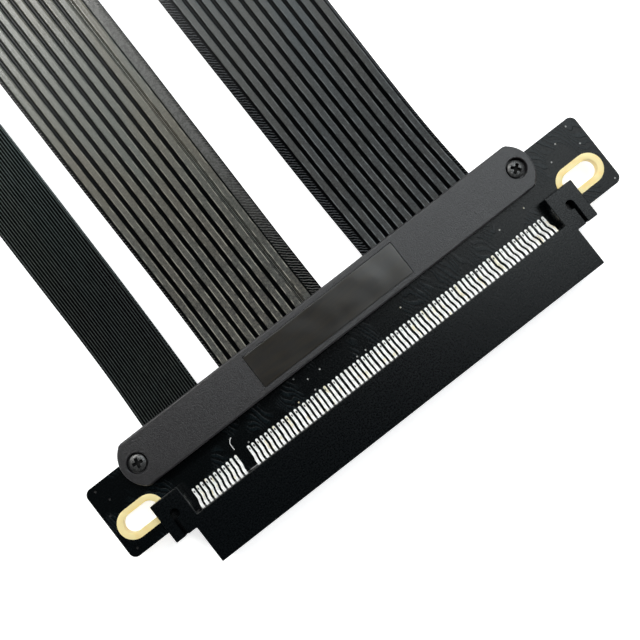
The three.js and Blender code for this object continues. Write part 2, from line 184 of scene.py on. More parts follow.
def added(name):
    """Name the shape just added, and put its place, turn and scale into its mesh."""
    made = bpy.context.object
    made.name = name
    return settle(made)


class Edit:
    """Edit mode on one object, where a rule on their place picks points, edges or faces."""

    def __init__(self, obj):
        self.obj = obj

    def __enter__(self):
        only(self.obj)
        bpy.ops.object.mode_set(mode="EDIT")
        return self

    def __exit__(self, *_):
        bpy.ops.object.mode_set(mode="OBJECT")

    def _pick(self, kind, rule):
        bpy.ops.mesh.select_mode(type=kind)
        bpy.ops.mesh.select_all(action="DESELECT")
        mesh = bmesh.from_edit_mesh(self.obj.data)
        parts = {"VERT": mesh.verts, "EDGE": mesh.edges, "FACE": mesh.faces}[kind]
        for part in parts:
            if rule(part):
                part.select_set(True)
        mesh.select_flush_mode()
        bmesh.update_edit_mesh(self.obj.data)

    def points(self, rule):
        self._pick("VERT", lambda part: rule(part.co))

    def edges(self, rule):
        self._pick("EDGE", lambda part: rule(part.verts[0].co, part.verts[1].co))

    def faces(self, rule):
        self._pick("FACE", lambda part: rule(part.calc_center_median(), part.normal))

    def everything(self):
        self._pick("VERT", lambda part: True)

    def move(self, *offset):
        bpy.ops.transform.translate(value=offset)

    def resize(self, shares, about):
        bpy.ops.transform.resize(value=shares, center_override=about)

    def turn(self, angle, about):
        bpy.ops.transform.rotate(value=angle, orient_axis="Z", center_override=about)

    def pull(self, *offset):
        """Extrude the picked faces."""
        bpy.ops.mesh.extrude_region_move(TRANSFORM_OT_translate={"value": offset})

    def bevel(self, offset, segments=2):
        bpy.ops.mesh.bevel(offset=offset, segments=segments, affect="EDGES")

    def divide(self, y):
        """Cut the whole shape across at Y, so that it can bend there."""
        self.everything()
        bpy.ops.mesh.bisect(plane_co=(0, y, 0), plane_no=(0, 1, 0))


def block(name, corner, opposite):
    """A box between two opposite corners."""
    corner, opposite = Vector(corner), Vector(opposite)
    bpy.ops.mesh.primitive_cube_add(size=1, location=(corner + opposite) / 2,
                                    scale=[abs(reach) for reach in opposite - corner])
    return added(name)


def rod(name, centre, radius, low, high, sides=48, turn=0.0):
    """An upright cylinder between two heights."""
    bpy.ops.mesh.primitive_cylinder_add(
        vertices=sides, radius=radius, depth=high - low,
        location=(centre[0], centre[1], (low + high) / 2), rotation=(0, 0, turn))
    return added(name)


def stretch(obj, x, reach):
    """Draw the two halves of a round shape apart along X, so that its ends stay round."""
    with Edit(obj) as edit:
        for side in (-1, 1):
            edit.points(lambda point: side * (point.x - x) > 0)
            edit.move(side * reach, 0, 0)
    return obj


def oblong(name, centre, long, wide, low, high, sides=48):
    """An upright bar with full-radius ends."""
    made = rod(name, centre, wide / 2, low, high, sides, math.pi / sides)
    return stretch(made, centre[0], (long - wide) / 2)


def bowed_bar(name, centre, long, wide, low, high, bow, corner, sides=96):
    """An upright bar whose ends bow out between small round corners."""
    made = rod(name, centre, bow, low, high, sides, math.pi / sides)
    stretch(made, centre[0], long / 2 - bow)
    with Edit(made) as edit:
        for side in (-1, 1):
            edit.everything()
            bpy.ops.mesh.bisect(plane_co=(0, centre[1] + side * wide / 2, 0),
                                plane_no=(0, side, 0), clear_outer=True, use_fill=True)
        edit.edges(lambda a, b: abs(a.z - b.z) > (high - low) / 2
                   and abs(abs(a.y - centre[1]) - wide / 2) < TOUCH)
        edit.bevel(corner, 4)
    return made


def modify(obj, kind, **settings):
    """Add a modifier and apply it."""
    only(obj)
    modifier = obj.modifiers.new(kind.title(), kind)
    for name, value in settings.items():
        setattr(modifier, name, value)
    bpy.ops.object.modifier_apply(modifier=modifier.name)
    return obj


def carve(obj, *cutters, operation="DIFFERENCE"):
    """Cut shapes out of an object, or fuse them to it, and remove them."""
    for cutter in cutters:
        modify(obj, "BOOLEAN", operation=operation, solver="EXACT", object=cutter)
        bpy.data.objects.remove(cutter)
    return obj


def soften(obj, width, segments=2, angle=35):
    """Round every edge that is sharper than an angle."""
    return modify(obj, "BEVEL", width=width, segments=segments, limit_method="ANGLE",
                  angle_limit=math.radians(angle), use_clamp_overlap=True)


def twin(obj, name):
    """A copy with a mesh of its own."""
    only(obj)
    bpy.ops.object.duplicate(linked=False)
    made = bpy.context.object
    made.name = name
    return made


def shift(obj, offset):
    """Move a piece, its place kept in its mesh."""
    with Edit(obj) as edit:
        edit.everything()
        edit.move(*offset)
    return obj


def fuse(name, *parts):
    """Join pieces into one object."""
    bpy.ops.object.select_all(action="DESELECT")
    for part in parts:
        part.select_set(True)
    bpy.context.view_layer.objects.active = parts[0]
    bpy.ops.object.join()
    made = bpy.context.object
    made.name = name
    return made


def contact_row(name, first):
    """Copy a piece that stands at X = 0 along both groups of the card-edge row."""
    second = twin(first, name + "_long")
    groups = [(first, -ROW_LENGTH / 2, SHORT_GROUP),
              (second, ROW_LENGTH / 2 - (LONG_GROUP - 1) * CONTACT_PITCH, LONG_GROUP)]
    for piece, start, count in groups:
        shift(piece, (start, 0, 0))
        modify(piece, "ARRAY", count=count, use_relative_offset=False, use_constant_offset=True,
               constant_offset_displace=(CONTACT_PITCH, 0, 0))
    return fuse(name, first, second)


def both_faces(obj, mid):
    """Add the same piece turned over on the other face of a board whose middle is at mid."""
    below = twin(obj, obj.name + "_below")
    with Edit(below) as edit:
        edit.everything()
        edit.resize((1, 1, -1), (0, 0, mid))
        bpy.ops.mesh.flip_normals()
    return fuse(obj.name, obj, below)


def coat(obj, finish):
    """Give a piece its material."""
    obj.data.materials.clear()
    obj.data.materials.append(finish)


def keep(obj, name, finish, slot, *nodes, angle=30):
    """Finish a piece: its name, smooth faces, material, body and the nodes it stands for; its slot
    is not used.
    """
    obj.name = name
    obj.data.name = name
    settle(obj)
    bpy.ops.object.shade_smooth_by_angle(angle=math.radians(angle))
    modify(obj, "WEIGHTED_NORMAL", keep_sharp=True)
    coat(obj, finish)
    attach(obj, "root")
    if nodes:
        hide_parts(*nodes)
    return obj


# Materials

def tinted(tone, *shares):
    """A colour whose channels are scaled, by one share or by three, and held at 1."""
    if len(shares) == 1:
        shares *= 3
    return tuple(min(1, channel * share) for channel, share in zip(tone, shares))


class Link:
    """A socket of a material, on which Python's operators add Math nodes."""

    def __init__(self, finish, socket):
        self.finish = finish
        self.socket = socket

    def math(self, operation, *values):
        return self.finish.node("Math", {"operation": operation}, dict(enumerate(values)))

    def __add__(self, other):
        return self.math("ADD", self, other)

    def __sub__(self, other):
        return self.math("SUBTRACT", self, other)

    def __rsub__(self, other):
        return self.math("SUBTRACT", other, self)

    def __mul__(self, other):
        return self.math("MULTIPLY", self, other)

    def __gt__(self, other):
        return self.math("GREATER_THAN", self, other)

    def __lt__(self, other):
        return self.math("LESS_THAN", self, other)

    def __abs__(self):
        return self.math("ABSOLUTE", self)

    def __or__(self, other):
        """The greater of two."""
        return self.math("MAXIMUM", self, other)

    __radd__ = __add__
    __rmul__ = __mul__
    __ror__ = __or__

    def part(self):
        """What is left after the whole number."""
        return self.math("FRACT", self)

    def fade(self, low, high):
        """0 below low, 1 above high, and smooth between."""
        return self.finish.node(
            "MapRange", {"interpolation_type": "SMOOTHSTEP"},
            {"Value": self, "From Min": low, "From Max": high})


class Finish:
    """A material made of nodes round one Principled shader."""

    def __init__(self, name, **constants):
        self.material = bpy.data.materials.new(name)
        self.material.use_nodes = True
        self.tree = self.material.node_tree
        self.shader = self.tree.nodes["Principled BSDF"]
        self.set(**constants)
        at = self.node("TexCoord", output="Object")
        # The frame's own coordinates, in millimetres
        self.place = self.node("VectorMath", {"operation": "SCALE"}, {0: at, "Scale": 1 / MM})

    def connect(self, socket, value):
        if isinstance(value, Link):
            self.tree.links.new(value.socket, socket)
        elif socket.type == "RGBA":
            socket.default_value = (*value, 1)
        else:
            socket.default_value = value

    def set(self, **values):
        """Give sockets of the shader their constants or links, such as base_color=..."""
        for name, value in values.items():
            title = name.replace("_", " ").title().replace("Ior", "IOR")
            self.connect(self.shader.inputs[title], value)

    def node(self, kind, settings=None, sockets=None, output=0):
        """Add a node: its settings first, then its sockets' values or links; give one output."""
        made = self.tree.nodes.new("ShaderNode" + kind)
        for name, value in (settings or {}).items():
            setattr(made, name, value)
        for key, value in (sockets or {}).items():
            self.connect(made.inputs[key], value)
        return Link(self, made.outputs[output])

    def axis(self, name):
        return self.node("SeparateXYZ", sockets={0: self.place}, output=name)

    def attribute(self, name):
        return self.node("Attribute", {"attribute_name": name}, output="Fac")

    def noise(self, scale, detail=2.0, roughness=0.5):
        """Soft noise from 0 to 1, with features about 1 / scale across: one scale, or three."""
        place = self.place
        if isinstance(scale, tuple):
            place = self.node("VectorMath", {"operation": "MULTIPLY"}, {0: place, 1: scale})
            scale = 1.0
        return self.node("TexNoise", sockets={"Vector": place, "Scale": scale, "Detail": detail,
                                              "Roughness": roughness})

    def mix(self, share, first, second):
        """A colour between two, by a share from 0 to 1."""
        made = self.node("Mix", {"data_type": "RGBA"}, output="Result")
        node = made.socket.node
        colours = {"Factor": share, "A": first, "B": second}
        for socket in node.inputs:
            if socket.enabled and socket.name in colours:
                self.connect(socket, colours[socket.name])
        return Link(self, next(s for s in node.outputs if s.enabled))

    def bump(self, height, distance, strength=1.0):
        """Relief whose height of 1 stands a distance in millimetres; give the whole material."""
        self.set(normal=self.node("Bump", sockets={
            "Height": height, "Distance": distance * MM, "Strength": strength}))
        return self.material


def mould_plastic(name, tone, roughness, grain, speckle, relief, shine=0.5):
    """Moulded plastic: a spark-eroded grain, faint lighter specks and cloudy sheen."""
    finish = Finish(name, specular_ior_level=shine)
    fine = finish.noise(grain, 3, 0.65)
    cloud = finish.noise(0.07, 2)
    light, dark = tinted(tone, 1 + speckle), tinted(tone, 1 - speckle)
    grains = finish.mix(fine.fade(0.36, 0.64), dark, light)
    finish.set(base_color=finish.mix(cloud.fade(0.3, 0.8) * 0.25, grains, light),
               roughness=roughness + (fine - 0.5) * 0.3)
    return finish.bump(fine, relief)


def solder_mask(tone):
    """Black board: glossy mask with a faint relief of traces under it."""
    finish = Finish("black_solder_mask", specular_ior_level=0.16)
    wander = finish.noise((0.35, 0.12, 1.0), 1)
    lane = (finish.axis("X") + finish.axis("Y") * 0.55 + wander * 5).part()
    trace = abs(lane - 0.5).fade(0.30, 0.22)
    copper = trace * finish.noise(0.16, 1).fade(0.48, 0.62)
    fibre = finish.noise(2.6, 3)
    finish.set(base_color=finish.mix(copper * 0.7, tone, tinted(tone, 5)),
               roughness=0.22 + fibre * 0.1)
    return finish.bump(copper * 0.6 + fibre * 0.35, 0.03)


def bright_tin(tone):
    """Tinned tails and solder: bright, a little streaked, with painted shadow flecks at the tails'
    tips and warm tails.
    """
    finish = Finish("bright_tin", metallic=0.08)
    streak = finish.noise((3.0, 0.8, 3.0), 2)
    contact = finish.noise((0.9, 0.02, 0.02), 0)
    warm = contact.fade(0.52, 0.62) * finish.noise(0.8, 1).fade(0.45, 0.6)
    tip_shadow_y = BOARD_FRONT / MM + TIP_SHADOW_PLACE
    lane = abs(finish.axis("X").part() - 0.5 + (contact - 0.5) * 0.4)
    # Painted shadow: dark flecks where each tail's tip meets its solder
    tip_shadow = (1 - lane.fade(0.09, 0.17)) * (1 - abs(finish.axis("Y") - tip_shadow_y).fade(0.14, 0.28))
    tip_shadow_flecks = tip_shadow * finish.noise((1.7, 0.3, 0.3), 0).fade(0.36, 0.46)
    clean = finish.mix(streak.fade(0.55, 0.72) * 0.5, tone, tinted(tone, 0.62))
    gilded = finish.mix(warm * 0.55, clean, (0.80, 0.70, 0.40))
    finish.set(base_color=finish.mix(tip_shadow_flecks, gilded, (0.03, 0.03, 0.03)),
               roughness=0.28 + streak * 0.2)
    return finish.bump(streak, 0.03)


def gold_plate(name, tone, metallic):
    """Gold over copper: pale, with fine rolling marks and a warmer tint in patches."""
    finish = Finish(name, metallic=metallic)
    rubbed = finish.noise((1.2, 7.2, 1.2), 3)
    patch = finish.noise(0.5, 1)
    warm = tinted(tone, 1, 0.86, 0.6)
    finish.set(base_color=finish.mix(patch.fade(0.4, 0.7) * 0.6, tone, warm),
               roughness=0.3 + rubbed * 0.25)
    return finish.bump(rubbed, 0.008)


def black_steel(name, tone, top):
    """Black oxide screws: worn on top of the head; below that, in the cross recess and down the
    sides, dull and dark with painted shade.
    """
    finish = Finish(name)
    worn = finish.noise(3.5, 3)
    # Painted shade: everything more than 0.42 mm under the head's top, the cross recess included,
    # turns near black and dull
    below = finish.axis("Z") < top / MM - 0.42
    face = finish.mix(worn.fade(0.4, 0.7), tone, tinted(tone, 2.4))
    finish.set(base_color=finish.mix(below, face, (0.001, 0.001, 0.001)),
               metallic=0.7 - below * 0.7, roughness=0.30 + worn * 0.2 + below * 0.5)
    return finish.bump(worn, 0.012)


def label_film(tone):
    """Glossy blank film, slightly uneven where it is glued down."""
    finish = Finish("gloss_label_film", roughness=0.3, coat_roughness=0.12)
    glue = finish.noise(0.12, 1)
    smear = finish.noise((0.2, 1.4, 1.0), 3)
    olive = tinted(tone, 1.8, 1.6, 1.1)
    finish.set(base_color=finish.mix(smear.fade(0.35, 0.7), tone, olive), coat_weight=0.8)
    return finish.bump(glue, 0.5, 0.6)


def cable_film(name, tone, groove_shade_tone, ribs, fine=False, twin_rib=None):
    """Film over flat wires: light ribs, painted glints, painted shade in grooves and creases,
    crinkled bare film at the edges.
    """
    finish = Finish(name, specular_ior_level=0.5)
    rib, bare, along = (finish.attribute(kind) for kind in ("rib", "bare_film", "along"))
    near = 1 - along.fade(5, 60)
    worn = along.fade(20, 80)

    # Grooves, painted near black as shade, whose sides wander a little; one rib can show its two
    # wires as two thin dark lines
    fray = finish.noise((0.9, 0.45, 1.0), 3)
    off_centre = abs(rib.part() - 0.5) + (fray - 0.5) * (0.10 if fine else 0.09)
    groove = off_centre.fade(0.08, 0.24) if fine else off_centre.fade(0.285, 0.345)
    if twin_rib is not None:
        apart = abs(rib - twin_rib)
        lines = 1 - abs(apart - 0.07).fade(0.018, 0.034)
        around = 1 - apart.fade(0.14, 0.17)
        groove = groove * (1 - around) | lines * around

    # Tops: warm and cool patches, mottling that grows darker near the cover, painted shade along
    # each rib's middle dip there, a painted glint line on the shoulders
    speck = finish.noise(2.2, 3, 0.75)
    tint = finish.noise((0.12, 0.03, 1.0), 1)
    warm, cool = tinted(tone, 1.06, 1.0, 0.90), tinted(tone, 0.90, 1.0, 1.02)
    plain = finish.mix(tint.fade(0.38, 0.62), warm, cool)
    dim = tinted(tone, 0.16)
    # Painted shade along the dip between each pair's two wires, near the cover
    middle_dip_shade = (1 - off_centre.fade(0.03, 0.10)) * near * 0.8
    darker_near_cover = 0.85 - worn * 0.65 if fine else near * 0.62
    mottle_and_shade = speck.fade(0.43, 0.56) * (0.14 + near * 0.86) | middle_dip_shade | darker_near_cover
    shoulder = off_centre.fade(0.20, 0.24) * (1 - off_centre.fade(0.25, 0.285))
    glint = shoulder * finish.noise((1.3, 0.4, 1.0), 2).fade(0.42, 0.58)
    tops = finish.mix(glint * (0.35 + near * 0.5), finish.mix(mottle_and_shade, plain, dim),
                      tinted(tone, 3.6))

    # Bare film: smooth but for its creased left edge, its outer rim and near the cover; the
    # creases carry stripes of painted shade
    outside = (rib - ribs).fade(0.55, 0.85)
    rim = (rib - ribs).fade(0.90, 0.95)
    close = 1 - along.fade(3, 38)
    creased = (rib < 0) | outside * 0.6 | close
    crease = finish.noise((1.1, 0.5, 1.0), 3, 0.6)
    fold = (finish.axis("Y") * 1.5 + finish.axis("X") * 1.3 + crease * 1.4).part()
    pleat_and_shade = abs(fold - 0.5).fade(0.10, 0.24) * creased | rim
    film = finish.mix(speck.fade(0.42, 0.60) * 0.6, tinted(tone, 0.68, 0.70, 0.80), dim)

    # Painted shade: the grooves, and on bare film the crease stripes and the rim, take the
    # near-black groove colour
    dark = groove + bare * (pleat_and_shade - groove)
    shade = finish.mix(dark, finish.mix(bare, tops, film), groove_shade_tone)
    finish.set(base_color=shade, metallic=dark * (0.95 if fine else 0.95 - worn * 0.5),
               roughness=0.58 - worn * 0.42 + speck * 0.16 + dark * (0.3 - worn * 0.2))
    return finish.bump(speck * 0.4 + fray * 0.5 + bare * pleat_and_shade * 1.6, 0.05)


def pale_floor(glow):
    """Pale table that glows a little, so that the shadows on it stay faint."""
    finish = Finish("pale_floor", roughness=0.9, emission_strength=glow)
    finish.set(base_color=finish.mix(finish.noise(0.02, 2), (0.86, 0.86, 0.86), (0.9, 0.9, 0.9)),
               emission_color=(1.0, 1.0, 1.0), specular_ior_level=0.2)
    return finish.material


# Stage

CAMERA_PLACE = (-7.305 * MM, 5.429 * MM, 174.014 * MM)
CAMERA_TURN = (1.956, -0.159, -37.890)  # degrees about X, Y and Z
SENSOR_WIDTH = 36.0
CLIP_START, CLIP_END = 0.01, 20.0
FLOOR_SIZE = 8.0
SKY = [  # from the horizon up, and its tone there
    (0.0, (1.0, 1.0, 1.0)), (0.34, (0.85, 0.85, 0.86)), (0.58, (0.06, 0.063, 0.066)),
    (0.78, (0.003, 0.0033, 0.0035)),
]
SOFTBOXES = {  # light: its place, width, depth, colour, turn in degrees, setting of its power
    "key_softbox": ((0.385, 0.165, 0.95), 0.5, 0.5, (0.92, 0.98, 1.0), 24.5, "key"),
    "back_softbox": ((-0.17, 0.64, 0.95), 0.55, 0.26, (1.0, 1.0, 0.97), 0.0, "back"),
    "cool_side": ((0.85, 0.25, 0.30), 0.5, 0.25, (0.70, 0.86, 1.0), 0.0, "side"),
}
LIT_PLACE = (0, 0.05, 0)  # what the lights face


def softbox(name, settings):
    """An area light that faces the slot end, turned round its own axis."""
    place, width, depth, tone, turn, setting = SOFTBOXES[name]
    light = bpy.data.lights.new(name, "AREA")
    light.shape = "RECTANGLE"
    light.size, light.size_y = width, depth
    light.energy = getattr(settings, setting)
    light.color = tone
    lamp = linked(name, light)
    lamp.location = place
    facing = (Vector(LIT_PLACE) - Vector(place)).to_track_quat("-Z", "Y")
    lamp.rotation_euler = (facing @ Quaternion((0, 0, 1), math.radians(turn))).to_euler()


def studio_sky():
    """A room that is bright near the horizon and dark overhead."""
    world = bpy.data.worlds.new("studio_room")
    world.use_nodes = True
    bpy.context.scene.world = world
    tree = world.node_tree
    background = tree.nodes["Background"]
    where = tree.nodes.new("ShaderNodeTexCoord")
    split = tree.nodes.new("ShaderNodeSeparateXYZ")
    ramp = tree.nodes.new("ShaderNodeValToRGB")
    stops = ramp.color_ramp.elements
    while len(stops) < len(SKY):
        stops.new(1)
    for stop, (height, tone) in zip(stops, SKY):
        stop.position = height
        stop.color = (*tone, 1)
    tree.links.new(where.outputs["Generated"], split.inputs[0])
    tree.links.new(split.outputs["Z"], ramp.inputs["Fac"])
    tree.links.new(ramp.outputs["Color"], background.inputs["Color"])


class RISER_OT_stage(bpy.types.Operator):
    """Set the camera, the pale floor and the studio light"""
    bl_idname = "riser.stage"
    bl_label = "Set Stage"

    def execute(self, context):
        settings = context.scene.riser_stage
        if settings.tidy:
            for name in ("Cube", "Light", "Camera"):
                if name in bpy.data.objects:
                    bpy.data.objects.remove(bpy.data.objects[name])
        lens = bpy.data.cameras.new("photo_camera")
        lens.sensor_width = SENSOR_WIDTH
        lens.lens = settings.focal
        lens.clip_start, lens.clip_end = CLIP_START, CLIP_END
        camera = linked("photo_camera", lens)
        camera.location = CAMERA_PLACE
        camera.rotation_euler = [math.radians(turn) for turn in CAMERA_TURN]
        context.scene.camera = camera
        context.scene.view_settings.view_transform = "Standard"

        bpy.ops.mesh.primitive_plane_add(size=FLOOR_SIZE, location=(0, 0, 0))
        floor = added("pale_floor")
        floor.data.materials.append(pale_floor(settings.glow))

        studio_sky()
        for name in SOFTBOXES:
            softbox(name, settings)
        return {"FINISHED"}


# Cables

CABLE_PLACES = {  # node: its route, its ribs, and its bare film at the left and right, in mm
    "cable_narrow": ("upper", "fine", 0.2, 0.2),
    "cable_middle_upper": ("upper", "wide", 0.45, 2.2),
    "cable_middle_lower": ("lower", "wide", 0.45, 0.6),
    "cable_right_upper": ("upper", "wide", 1.75, 0.35),
    "cable_right_lower": ("lower", "wide", 0.6, 0.35),
}
WIDE_STEPS = (0.0, 0.09, 0.14, 0.19, 0.25, 0.36, 0.5, 0.64, 0.75, 0.81, 0.86, 0.91)
FINE_STEPS = (0.0, 0.2, 0.5, 0.8)
FILM_STEPS = 8
STRAY = 0.03 * MM  # how far the film's height strays
WEAVE = 0.05 * MM  # how far a rib strays sideways
CROWN = 0.05 * MM  # how far a rib's shoulders stand above its middle
FINE_TINT = (0.75, 1.02, 1.1)
RIGHT_TINT = (0.42, 0.48, 0.60)
TWIN_RIB = 9  # the middle cable's rib that shows its two wires
CURVE_STEP = 0.2 * MM  # of the fine curve that a route's even points lie on


def smooth(low, high, value):
    share = min(1, max(0, (value - low) / (high - low)))
    return share * share * (3 - 2 * share)


def route_points(layer, step):
    """Even points on the centripetal curve through a layer's route, in Y and Z."""
    knots = [Vector((0, COVER_REAR + knot[0] * MM, knot[LAYERS[layer]] * MM))
             for knot in ROUTES]
    ends = [2 * knots[0] - knots[1], 2 * knots[-1] - knots[-2]]
    knots = [ends[0], *knots, ends[1]]
    fine = []
    for a, b, c, d in zip(knots, knots[1:], knots[2:], knots[3:]):
        gaps = [math.sqrt((q - p).length) for p, q in ((a, b), (b, c), (c, d))]
        start = (b - a) / gaps[0] - (c - a) / (gaps[0] + gaps[1]) + (c - b) / gaps[1]
        end = (c - b) / gaps[1] - (d - b) / (gaps[1] + gaps[2]) + (d - c) / gaps[2]
        start, end = start * gaps[1], end * gaps[1]
        pieces = max(2, round((c - b).length / CURVE_STEP))
        for i in range(pieces):
            t = i / pieces
            fine.append((2 * t**3 - 3 * t**2 + 1) * b + (t**3 - 2 * t**2 + t) * start
                        + (3 * t**2 - 2 * t**3) * c + (t**3 - t**2) * end)
    fine.append(knots[-2])
    reach = [0.0]
    for p, q in zip(fine, fine[1:]):
        reach.append(reach[-1] + (q - p).length)
    count = round(reach[-1] / step)
    points, at = [], 0
    for i in range(count + 1):
        want = reach[-1] * i / count
        while at < len(reach) - 2 and reach[at + 1] < want:
            at += 1
        share = (want - reach[at]) / (reach[at + 1] - reach[at])
        points.append(fine[at].lerp(fine[at + 1], share))
    return points


def cable_columns(ribs, steps, pitch, left, right):
    """Columns across a cable: place from its left edge, rib coordinate, whether bare film."""
    columns = []
    for i in range(FILM_STEPS):
        columns.append((left * i / FILM_STEPS, i / FILM_STEPS - 1, 1.0))
    for rib in range(ribs):
        for step in steps:
            columns.append((left + (rib + step) * pitch, rib + step, 0.0))
    for i in range(FILM_STEPS + 1):
        columns.append((left + ribs * pitch + right * i / FILM_STEPS,
                        ribs + i / FILM_STEPS, 1.0))
    return columns


def half_height(settings, wide, coordinate, bare, y, seed):
    """Half the cable's thickness at a column: ribs over wire pairs, film between them."""
    film = settings.film_height / 2
    top = settings.rib_height / 2
    wander = noise.noise(Vector((y * 60, seed, coordinate * 0.9)))
    if bare:
        edge = coordinate + 1 if coordinate < 0 else 1 - coordinate % 1
        return film * (0.55 + 0.45 * smooth(0, 0.3, edge)) + STRAY * wander
    off = abs(coordinate % 1 - 0.5)
    rise = 1 - (smooth(0.27, 0.42, off) if wide else smooth(0.12, 0.5, off))
    near = 1 - smooth(0.01, 0.06, y - COVER_REAR)
    dip = (0.05 + 0.10 * near) * MM * (1 - smooth(0.03, 0.16, off)) if wide else 0
    crown = CROWN * smooth(0.33, 0.1, off) if wide else 0
    height = top - CROWN - dip + crown + STRAY * wander
    return film + (height - film) * rise


def cable_mesh(name, node, settings):
    """One flat cable as a closed skin of ribs that follows its route."""
    layer, kind, left, right = CABLE_PLACES[node]
    low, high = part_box(node)
    across = high.x - low.x
    wide = kind == "wide"
    ribs = settings.ribs if wide else settings.fine_ribs
    if "middle" in node:
        ribs -= 1
    left, right = left * MM, right * MM
    pitch = (across - left - right) / ribs
    steps = WIDE_STEPS if wide else FINE_STEPS
    columns = cable_columns(ribs, steps, pitch, left, right)
    path = route_points(layer, settings.step)
    seed = sum(map(ord, node)) * 0.37
    verts, rib_values, film_values, along_values = [], [], [], []
    for i, centre in enumerate(path):
        ahead = path[min(i + 1, len(path) - 1)] - path[max(i - 1, 0)]
        normal = Vector((0, -ahead.z, ahead.y)).normalized()
        free = centre.y - COVER_REAR
        spread = 0.978 + 0.022 * smooth(0.0, 0.06, free)
        for sign in (1, -1):
            for place, coordinate, bare in columns if sign > 0 else reversed(columns):
                weave = noise.noise(Vector((centre.y * 45, math.floor(coordinate) * 3.1, seed)))
                offset = (place - across / 2) * spread + WEAVE * weave
                offset = max(-across / 2, min(across / 2, offset))
                half = half_height(settings, wide, coordinate, bare, centre.y, seed)
                point = centre + Vector(((low.x + high.x) / 2 + offset, 0, 0))
                verts.append(point + normal * half * sign)
                rib_values.append(coordinate)
                film_values.append(bare)
                along_values.append(free / MM)
    ring = 2 * len(columns)
    faces = []
    for i in range(len(path) - 1):
        for j in range(ring):
            k = (j + 1) % ring
            faces.append((i * ring + j, i * ring + k, (i + 1) * ring + k, (i + 1) * ring + j))
    faces.append(tuple(reversed(range(ring))))
    faces.append(tuple(range(len(verts) - ring, len(verts))))
    mesh = bpy.data.meshes.new(name)
    mesh.from_pydata(verts, [], faces)
    for attribute, values in (("rib", rib_values), ("bare_film", film_values),
                              ("along", along_values)):
        mesh.attributes.new(attribute, "FLOAT", "POINT").data.foreach_set("value", values)
    obj = linked(name, mesh)
    with Edit(obj) as edit:
        edit.everything()
        bpy.ops.mesh.normals_make_consistent(inside=False)
    return obj, path


class RISER_OT_cables(bpy.types.Operator):
    """Lay the flat cables, each at its real length along its route"""
    bl_idname = "riser.cables"
    bl_label = "Lay Cables"

    def execute(self, context):
        settings = context.scene.riser_cable
        tone, groove = settings.film, settings.groove
        films = {
            "narrow": cable_film("fine_cable_film", tinted(tone, *FINE_TINT), groove,
                                 settings.fine_ribs, fine=True),
            "middle": cable_film("middle_cable_film", tone, groove, settings.ribs - 1,
                                 twin_rib=TWIN_RIB),
            "right": cable_film("right_cable_film", tinted(tone, *RIGHT_TINT), groove,
                                settings.ribs),
        }
        for node in CABLE_PLACES:
            obj, path = cable_mesh("flat_" + node, node, settings)
            film = films[node.split("_")[1]]
            keep(obj, "flat_" + node, film, "cable_jacket", node, angle=60)
            low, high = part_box(node)
            x = (low.x + high.x) / 2
            line = [(x, point.y, point.z) for point in path]
            exit_point = min(line, key=lambda p: abs(p[1] - COVER_REAR))
        return {"FINISHED"}


# Slot housing

EAR_INSET = 1.3 * MM  # from the last contact to the ear's inner wall
EAR_WIDTH = 6.2 * MM
EAR_REAR = 6.0 * MM  # past the board's front edge
EAR_FRONT = -2.15 * MM
EAR_HOLE_INSET = 3.2 * MM
EAR_HOLE_RADIUS = 0.95 * MM
EAR_HOLE_Y = 2.35 * MM
EAR_HOLE_DEPTH = 2.4 * MM
EAR_SLIT = 0.75 * MM
HOUSING_END = 44.4 * MM
HOUSING_GAP = 0.15 * MM  # to the board's front edge
SLOT_HALF = 0.9 * MM
SLOT_END = 42.75 * MM
KEY_RIB = 1.7 * MM
MOUTH_CHAMFER = 0.7 * MM
CHANNEL_WIDTH = 0.62 * MM
CHANNEL_DEPTH = 0.5 * MM
CHANNEL_START = 1.1 * MM  # behind the mouth
CHANNEL_REAR = 0.4 * MM  # in front of the slot's floor
SEAT_CLEARANCE = 0.12 * MM
SEAT_END = 60 * MM


def ear(side):
    """One ear of the housing, which grips the board's end from both faces."""
    inner = ROW_LENGTH / 2 + EAR_INSET
    return block("ear", (side * inner, BOARD_FRONT + EAR_FRONT, HOUSING_LOW.z),
                 (side * (inner + EAR_WIDTH), BOARD_FRONT + EAR_REAR, HOUSING_HIGH.z))


def slot_cutter(start, end, depth):
    """The slot's hollow on one side of the key rib, with its flared mouth."""
    front = HOUSING_LOW.y
    made = block("slot_cutter", (start, front + MOUTH_CHAMFER, BOARD_MID - SLOT_HALF),
                 (end, front + depth, BOARD_MID + SLOT_HALF))
    flare = (SLOT_HALF + MOUTH_CHAMFER + PAST) / SLOT_HALF
    with Edit(made) as edit:
        edit.faces(lambda centre, normal: normal.y < -FACING)
        edit.pull(0, -MOUTH_CHAMFER - PAST, 0)
        edit.resize((1, 1, flare), (0, 0, BOARD_MID))
    return made


def ear_cutters(side):
    """The round well and the slit that runs from it to the ear's front edge."""
    x = side * (ROW_LENGTH / 2 + EAR_INSET + EAR_HOLE_INSET)
    y = BOARD_FRONT + EAR_HOLE_Y
    floor, top = HOUSING_HIGH.z - EAR_HOLE_DEPTH, HOUSING_HIGH.z + PAST
    slit = x + side * (EAR_HOLE_RADIUS - EAR_SLIT / 2)
    well = rod("ear_well", (x, y), EAR_HOLE_RADIUS, floor, top)
    groove = block("ear_slit", (slit - EAR_SLIT / 2, BOARD_FRONT + EAR_FRONT - PAST, floor),
                   (slit + EAR_SLIT / 2, y, top))
    return [well, groove]


def channel_cutter(depth):
    """The grooves in the slot's walls that the contacts' springs move in."""
    front = HOUSING_LOW.y
    made = block("channels", (-CHANNEL_WIDTH / 2, front + CHANNEL_START, BOARD_MID),
                 (CHANNEL_WIDTH / 2, front + depth - CHANNEL_REAR,
                  BOARD_MID + SLOT_HALF + CHANNEL_DEPTH))
    return both_faces(contact_row("channels", made), BOARD_MID)


